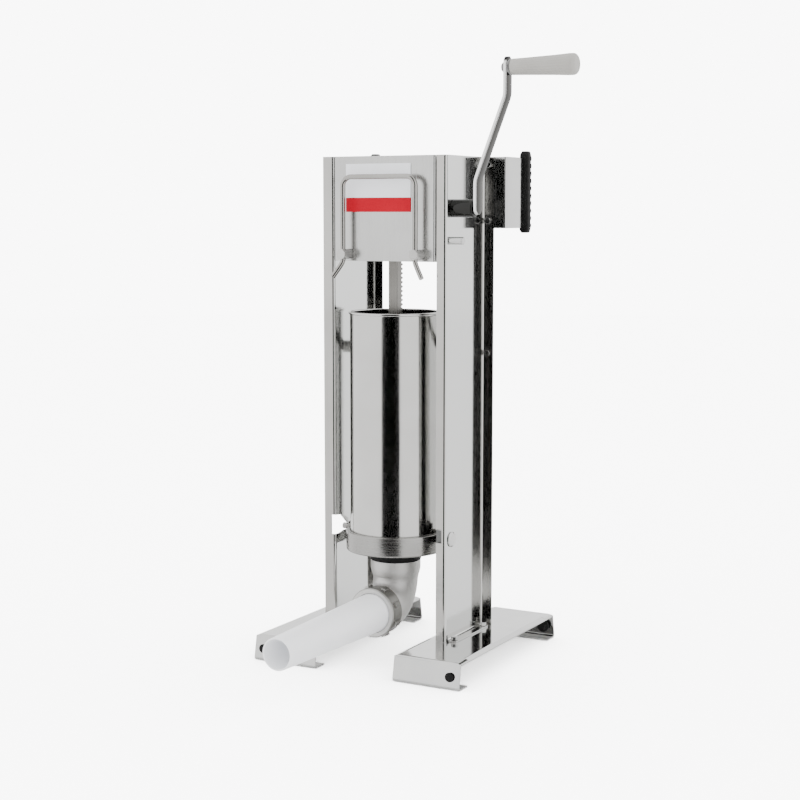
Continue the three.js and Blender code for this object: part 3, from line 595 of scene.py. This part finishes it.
def make_cylinder():
    inner, outer, bottom = 71.5, 73, 182
    outline = [Vector((inner, bottom)), Vector((outer, bottom)), Vector((outer, 554.5))]
    bead = Vector((outer, 558.8))
    bead_radius = 2.2
    for degrees in range(-70, 190, 20):
        angle = math.radians(degrees)
        outline.append(bead + bead_radius * Vector((math.cos(angle), math.sin(angle))))
    outline.append(Vector((inner, 558)))
    bm = bmesh.new()
    lathe(bm, "z", (0, AXIS_Y), outline, 160, looped=True)
    piece("barrel_shell", bm, "barrel", "barrel_steel", "cylinder")


def make_base_ring():
    band = rounded([
        (34, 176.4),
        (80, 176.4, 3),
        (80, 208, 1.2),
        (73.8, 208, 0.6),
        (73.8, 181.4),
        (34, 181.4),
    ], closed=True)
    bm = bmesh.new()
    lathe(bm, "z", (0, AXIS_Y), band, 160, looped=True)
    # A pin with a round foot on each side; the right one is longer.
    for side, end in ((1, 107), (-1, -98)):
        foot, step = side * 76, side * 85
        pin = rounded([
            (0, foot),
            (10, foot),
            (10, step, 1),
            (5, step),
            (5, end, 0.8),
            (0, end),
        ])
        lathe(bm, "x", (AXIS_Y, PIN_Z), pin, 40)
    piece("ring_band", bm, "frame", "ring_steel", "base_ring")


def make_outlet():
    line = rounded([(AXIS_Y, 159.6), (AXIS_Y, OUTLET_Z, 45), (-27, OUTLET_Z)])
    # More rings down the neck carry its flare, and two close ones the step at the nut's seat.
    neck_rings = 8
    neck = [line[0] + (line[1] - line[0]) * k / neck_rings for k in range(neck_rings)]
    seat = [Vector((y, OUTLET_Z)) for y in (NUT_SEAT_Y, NUT_SEAT_Y - 0.2)]
    path = [Vector((0, y, z)) for y, z in neck + line[1:-1] + seat + line[-1:]]

    def outer_section(i):
        rise = clamp((path[i].z - FLARE_FROM) / FLARE_HEIGHT)
        flare = NECK_FLARE * rise * rise * (3 - 2 * rise)
        in_nut = path[i].y < NUT_SEAT_Y - 0.1
        return circle((NUT_SEAT_RADIUS if in_nut else MOUTH_RADIUS) + flare, 72)

    across = Vector((1, 0, 0))
    outer = sweep_rings(path, across, outer_section)
    inner = sweep_rings(path, across, lambda i: circle(28, 72))
    bm = bmesh.new()
    skin(bm, outer + inner[::-1], looped=True)
    piece("elbow_casting", bm, "frame", "cast_steel", "outlet_elbow")


def make_gasket():
    bore, low, high = 34, 159.9, 176.1
    outline = rounded([
        (bore, low),
        (41, low, 1),
        (45, high, 1),
        (bore, high),
    ], closed=True)
    bm = bmesh.new()
    lathe(bm, "z", (0, AXIS_Y), outline, 96, looped=True)
    piece("gasket_ring", bm, "frame", "black_rubber", "outlet_gasket")


def make_nut():
    back, front = -10.5, -42
    outline = rounded([
        (35, back),
        (38.6, back, 1),
        (38.6, -31, 0.6),
        (39.9, -33, 0.6),
        (39.9, front + 2.2, 1.2),
        (37.6, front, 0.8),
        (31.6, front, 1),
        (31.6, front + 4),
        (35, front + 4),
    ], closed=True)
    bm = bmesh.new()
    lathe(bm, "y", (0, OUTLET_Z), outline, 128, looped=True)
    centre = at(0, 0, OUTLET_Z)
    low, high = ((x, y, OUTLET_Z + z) for x, y, z in (LUG_LOW, LUG_HIGH))
    step = 2 * math.pi / LUGS
    for k in range(LUGS):
        turn = Matrix.Rotation((k + 0.5) * step, 4, "Y")
        block(bm, low, high, Matrix.Translation(centre) @ turn @ Matrix.Translation(-centre))
    piece("nut_casting", bm, "nut", "nut_steel", "ring_nut", width=0.9)


def make_tube():
    flange, bore, tip, shoulder = -27.5, 28.5, -316, -46
    outline = rounded([
        (bore, flange),
        (34.4, flange),
        (34.4, -31.5),
        (31, -31.5),
        (31, shoulder),
        (24.5, tip, 1.2),
        (22, tip, 0.8),
        (bore, shoulder),
    ], closed=True)
    bm = bmesh.new()
    lathe(bm, "y", (0, OUTLET_Z), outline, 128, looped=True)
    piece("tube_shell", bm, "tube", "white_plastic", "filling_tube")


# ---------- bail ----------
BAIL_X = 64.5
BAIL_Y = -17
BAIL_TOP = 772.5
BAIL_BEND = 15
BAIL_ROD_RADIUS = 4


def make_bail():
    """A rod in the shape of an upside-down U whose lower ends splay out and forwards."""
    bend_z = BAIL_TOP - BAIL_BEND
    points = [
        (-BAIL_X - 15, BAIL_Y - 7, 616),
        (-BAIL_X - 3, BAIL_Y - 1.5, 635),
        (-BAIL_X, BAIL_Y, 642),
        (-BAIL_X, BAIL_Y, 655),
        (-BAIL_X, BAIL_Y, bend_z),
    ]
    bend_steps = 6
    for k in range(1, bend_steps):
        angle = math.pi - math.pi / 2 * k / bend_steps
        x = -BAIL_X + BAIL_BEND + BAIL_BEND * math.cos(angle)
        points.append((x, BAIL_Y, bend_z + BAIL_BEND * math.sin(angle)))
    points += [(-BAIL_X + BAIL_BEND, BAIL_Y, BAIL_TOP), (0, BAIL_Y, BAIL_TOP)]
    points += [(-x, y, z) for x, y, z in reversed(points[:-1])]

    curve = bpy.data.curves.new("bail_rod", "CURVE")
    curve.dimensions = "3D"
    curve.bevel_depth = BAIL_ROD_RADIUS * MM
    curve.bevel_resolution = 8
    curve.use_fill_caps = True
    spline = curve.splines.new("POLY")
    smooth = smoothed([Vector(p) for p in points], 6)
    spline.points.add(len(smooth) - 1)
    for point, place in zip(spline.points, smooth):
        point.co = (*at(*place), 1)
    register(new_object("bail_rod", curve), "bail", "rod_steel", ["retaining_bail"])


# ---------- rubber ----------
SIDES = (("right", 1), ("left", -1))
BUFFER_X = 168
BUFFER_Z = 20
# Each end's name, the way that points out of the machine there, and its foot lip's place.
FOOT_ENDS = (("front", -1, -97), ("rear", 1, 259))
# (radius, distance outwards from the lip, radius of the corner)
BUFFER_OUTLINE = (
    (0, -14),
    (6, -14, 1.5),
    (6.5, -10, 0.4),
    (10.5, -10, 1),
    (10.5, -5.6, 1),
    (5.7, -5.6),
    (5.7, 1.8),
    (7.4, 1.8, 0.3),
    (7.3, 3.4, 0.9),
    (0, 3.4),
)

STRIP_LOW, STRIP_HIGH = 684, 816
STRIP_RINGS = 176
RIBS = 11
RIB_DEPTH = 1.3
RIB_SHARPNESS = 2.5
END_LENGTH = 7  # the strip is rounded over this length at both ends
END_NARROWING = 0.45


def make_buffers():
    for word, side in SIDES:
        for end, outward, lip in FOOT_ENDS:
            corners = [(c[0], lip + outward * c[1], *c[2:]) for c in BUFFER_OUTLINE]
            bm = bmesh.new()
            lathe(bm, "y", (side * BUFFER_X, BUFFER_Z), rounded(corners), 48)
            node = f"{word}_{end}_buffer"
            piece(f"{node}_rubber", bm, "frame", "black_rubber", node)


def strip_section(z, half, back):
    """The cross-section of an edge strip at a height, from its own middle, within half and back."""
    depth = min(z - STRIP_LOW, STRIP_HIGH - z)
    round_off = 1 - max(1 - depth / END_LENGTH, 0) ** 2 * END_NARROWING
    phase = (z - STRIP_LOW) / (STRIP_HIGH - STRIP_LOW) * RIBS * 2 * math.pi
    rib = RIB_DEPTH * (math.tanh(RIB_SHARPNESS * math.cos(phase)) - 1) / 2
    a, b = half * round_off, back * (0.55 + 0.45 * round_off)
    wide, deep = a + 0.8 * rib, b + rib - 0.6  # the ribbed front's own half width and its place
    corners = [
        (-a, -b, 3),
        (a, -b, 3),
        (wide, b - 2.6, 1.6),
        (wide - 2, deep, 1),
        (2 - wide, deep, 1),
        (-wide, b - 2.6, 1.6),
    ]
    return rounded(corners, closed=True, steps=4)


def make_rest_edges():
    for word, _ in SIDES:
        node = f"{word}_rest_edge"
        (x0, x1), (y0, y1) = (
            [(corner[axis] - ORIGIN[axis]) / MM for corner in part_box(node)] for axis in (0, 1)
        )
        rings = []
        for k in range(STRIP_RINGS + 1):
            z = STRIP_LOW + (STRIP_HIGH - STRIP_LOW) * k / STRIP_RINGS
            middle = Vector(((x0 + x1) / 2, (y0 + y1) / 2, z))
            section = strip_section(middle.z, (x1 - x0) / 2, (y1 - y0) / 2)
            rings.append([at(middle.x + u, middle.y + v, middle.z) for u, v in section])
        bm = bmesh.new()
        skin(bm, rings, capped=True)
        piece(f"{word}_edge_strip", bm, "frame", "black_rubber", node)


make_crank_arm()
make_grip()
make_spindle()
make_boss()
make_cylinder()
make_base_ring()
make_outlet()
make_gasket()
make_nut()
make_tube()
make_bail()
make_buffers()
make_rest_edges()


# ---------- studio ----------
WORLD_STRENGTH = 2.2
BACKDROP_SEEN = 9.0
FLOOR_ALBEDO = 0.92
FLOOR_SEEN = 4.0
# Both black pieces cover the same directions, in degrees from the front towards the crank.
CARD_FROM = -6
CARD_TO = 39
CARD_STEPS = 16
# The studio's lengths are in metres.
FLOOR_RADIUS = 9.0
FLOOR_DROP = 0.0005
CARD_DISTANCE = 1.1
CARD_BOTTOM = 0.001
CARD_TOP = 3.0
MAT_FROM = 0.42
MAT_HEIGHT = 0.0002


def seen_or(tree, seen, else_value):
    """One value where the camera looks straight at a surface, another for light and reflections."""
    path = tree.nodes.new("ShaderNodeLightPath")
    return map_range(tree, path.outputs["Is Camera Ray"], (0, 1), (else_value, seen))


def matt(name, albedo):
    material, tree, shader = new_material(name)
    shader.inputs["Base Color"].default_value = (albedo, albedo, albedo, 1)
    shader.inputs["Roughness"].default_value = 1.0
    shader.inputs["Specular IOR Level"].default_value = 0.0
    return material


def stage_piece(name, bm, albedo):
    made = mesh_object(name, bm)
    made.data.materials.append(matt(name, albedo))
    return made


def black_sector(name, *edges):
    """A black strip part of the way round the machine, between two edges (distance, height).
    The camera and diffuse light don't see it."""
    middle = at(0, AXIS_Y, 0)
    bm = bmesh.new()
    rows = []
    for k in range(CARD_STEPS + 1):
        angle = math.radians(CARD_FROM + (CARD_TO - CARD_FROM) * k / CARD_STEPS)
        ray = Vector((math.sin(angle), -math.cos(angle), 0))
        rows.append([bm.verts.new(middle + ray * far + Vector((0, 0, up))) for far, up in edges])
    for (a, b), (c, d) in zip(rows, rows[1:]):
        bm.faces.new((a, c, d, b))
    made = stage_piece(name, bm, 0.0)
    made.visible_camera = False
    made.visible_diffuse = False
    return made


def build_studio():
    bm = bmesh.new()
    bmesh.ops.create_circle(bm, cap_ends=True, segments=96, radius=FLOOR_RADIUS)
    floor = stage_piece("floor", bm, FLOOR_ALBEDO)
    floor.location.z = -FLOOR_DROP
    material = floor.data.materials[0]
    colour = seen_or(material.node_tree, FLOOR_SEEN, FLOOR_ALBEDO)
    material.node_tree.links.new(colour, shader_of(material).inputs["Base Color"])

    # A black card that only reflections see gives the polished steel its dark bands. The same
    # sector of the floor looks black to reflections from the machine's lower parts.
    black_sector("black_card", (CARD_DISTANCE, CARD_BOTTOM), (CARD_DISTANCE, CARD_TOP))
    mat = black_sector("black_mat", (MAT_FROM, MAT_HEIGHT), (CARD_DISTANCE, MAT_HEIGHT))
    mat.visible_shadow = False

    world = bpy.data.worlds.new("studio")
    bpy.context.scene.world = world
    world.use_nodes = True
    tree = world.node_tree
    background = tree.nodes["Background"]
    background.inputs["Color"].default_value = (1, 1, 1, 1)
    tree.links.new(seen_or(tree, BACKDROP_SEEN, WORLD_STRENGTH), background.inputs["Strength"])


# The camera stands in front and to the right, slightly above, and looks slightly down.
CAMERA_AZIMUTH = 28.79
CAMERA_PITCH = 6.64
CAMERA_PLACE = (1241.08, -2206.09, 716.75)
CAMERA_LENS = 72.4
CAMERA_SENSOR = 36


def add_camera():
    data = bpy.data.cameras.new("camera")
    data.lens = CAMERA_LENS
    data.sensor_width = CAMERA_SENSOR
    data.clip_start = 0.05
    data.clip_end = 100
    camera = new_object("camera", data)
    camera.location = at(*CAMERA_PLACE)
    camera.rotation_euler = (math.radians(90 - CAMERA_PITCH), 0, math.radians(CAMERA_AZIMUTH))
    bpy.context.scene.camera = camera


build_studio()
add_camera()
